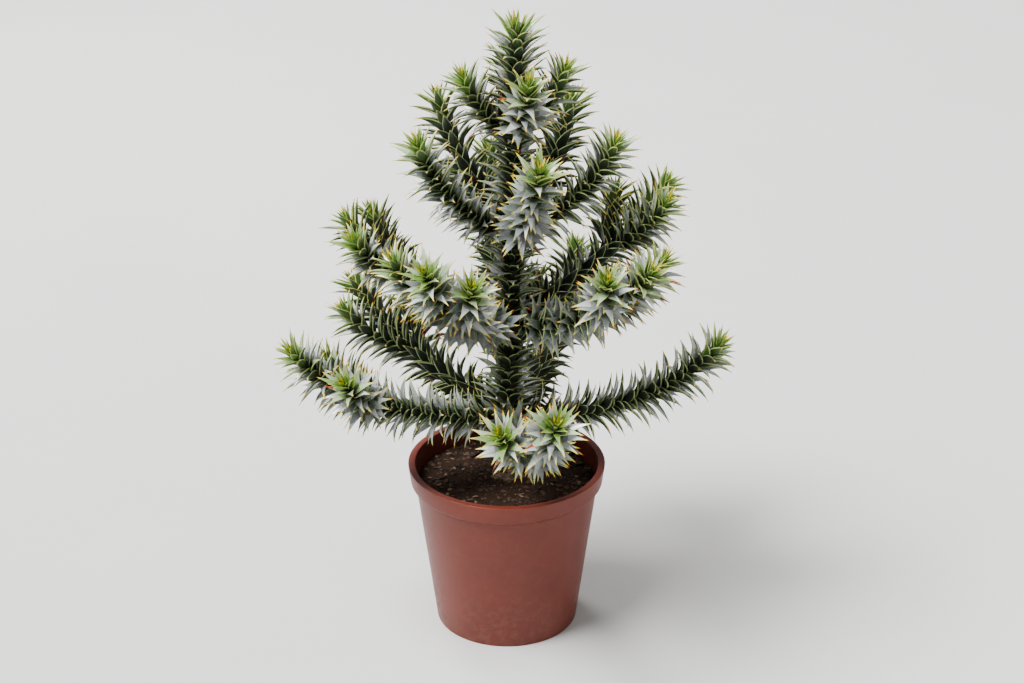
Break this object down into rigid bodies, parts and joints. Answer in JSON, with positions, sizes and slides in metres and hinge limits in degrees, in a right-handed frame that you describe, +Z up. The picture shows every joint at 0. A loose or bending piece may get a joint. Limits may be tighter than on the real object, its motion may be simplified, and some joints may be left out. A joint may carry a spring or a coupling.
{
  "type": "potted young monkey puzzle tree",
  "caption": "Whole young monkey puzzle tree with a straight trunk and whorls of upcurved shoots clothed in stiff spiny leaves, standing in a round nursery pot.",
  "frame": {"origin": "centre of the pot's flat underside", "axes": "+Z up along the trunk, +X towards the side that the trunk leans to"},
  "size_m": [0.474, 0.519, 0.7101],
  "materials": {
    "pot": "matte terracotta",
    "compost": "moist, crumbly",
    "bark": "rough",
    "leaves": "waxy satin"
  },
  "bodies": {
    "root": {"pot": "pot", "compost": "compost", "trunk": "bark", "bough_1_1": "bark", "bough_1_2": "bark", "bough_1_3": "bark", "bough_1_4": "bark", "bough_1_5": "bark", "bough_2_1": "bark", "bough_2_2": "bark", "bough_2_3": "bark", "bough_2_4": "bark", "bough_2_5": "bark", "bough_3_1": "bark", "bough_3_2": "bark", "bough_3_3": "bark", "bough_3_4": "bark", "bough_3_5": "bark", "bough_4_1": "bark", "bough_4_2": "bark", "bough_4_3": "bark", "bough_4_4": "bark", "foliage_1_1": "leaves", "foliage_1_2": "leaves", "foliage_1_3": "leaves", "foliage_1_4": "leaves", "foliage_1_5": "leaves", "foliage_2_1": "leaves", "foliage_2_2": "leaves", "foliage_2_3": "leaves", "foliage_2_4": "leaves", "foliage_2_5": "leaves", "foliage_3_1": "leaves", "foliage_3_2": "leaves", "foliage_3_3": "leaves", "foliage_3_4": "leaves", "foliage_3_5": "leaves", "foliage_4_1": "leaves", "foliage_4_2": "leaves", "foliage_4_3": "leaves", "foliage_4_4": "leaves", "foliage_leader": "leaves", "trunk_leaves_1": "leaves", "trunk_leaves_2": "leaves", "trunk_leaves_3": "leaves", "trunk_leaves_4": "leaves"}
  },
  "joints": []
}
